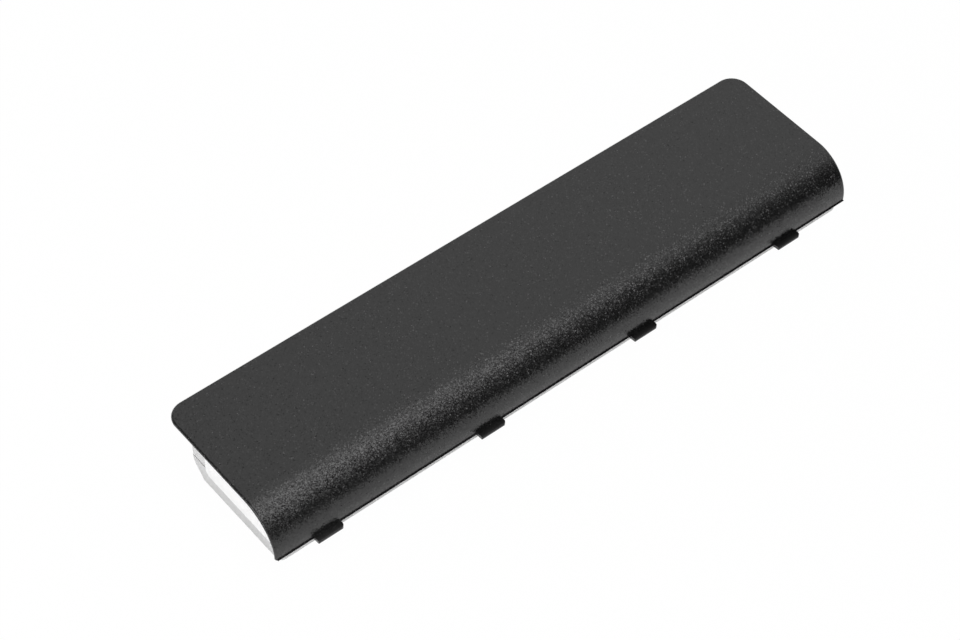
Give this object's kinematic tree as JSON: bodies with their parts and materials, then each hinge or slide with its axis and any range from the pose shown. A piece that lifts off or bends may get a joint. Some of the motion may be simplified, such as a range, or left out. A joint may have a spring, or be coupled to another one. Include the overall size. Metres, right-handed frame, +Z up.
{
  "type": "laptop battery",
  "caption": "Slim laptop battery pack with a rolled black cover, hook tabs along its front edge, a light grey body and a slotted connector at the back.",
  "frame": {"origin": "middle of the battery's outline, on the surface it rests on", "axes": "+X along the length, the front with the hook tabs at -Y, +Z up through the cover"},
  "size_m": [0.2058, 0.0516, 0.0205],
  "materials": {
    "cover_plastic": "fine moulded grain, satin black",
    "body_plastic": "light grey, smooth",
    "label_film": "white film, bare",
    "cell_sleeve": "shrink sleeve",
    "nickel": "nickel sheet",
    "insulating_card": "insulating card",
    "board_laminate": "green solder mask",
    "connector_plastic": "black",
    "contact_metal": "gold flash",
    "chip_resin": "moulded resin",
    "ceramic": "fired ceramic",
    "positive_insulation": "red insulation",
    "negative_insulation": "black insulation"
  },
  "bodies": {
    "root": {"outer_cover": "cover_plastic", "upper_frame": "body_plastic", "lower_tray": "body_plastic", "end_label": "label_film", "cell_front_left": "cell_sleeve", "cell_front_middle": "cell_sleeve", "cell_front_right": "cell_sleeve", "cell_rear_left": "cell_sleeve", "cell_rear_middle": "cell_sleeve", "cell_rear_right": "cell_sleeve", "negative_strip": "nickel", "link_strip_left": "nickel", "link_strip_right": "nickel", "positive_strip": "nickel", "insulating_rings": "insulating_card", "end_card_left": "insulating_card", "end_card_right": "insulating_card", "protection_board": "board_laminate", "connector_housing": "connector_plastic", "connector_contacts": "contact_metal", "gauge_chip": "chip_resin", "charge_switches": "chip_resin", "cell_fuse": "ceramic", "sense_resistor": "chip_resin", "chip_capacitors": "ceramic", "thermistor": "chip_resin", "positive_lead": "positive_insulation", "negative_lead": "negative_insulation"}
  },
  "joints": []
}
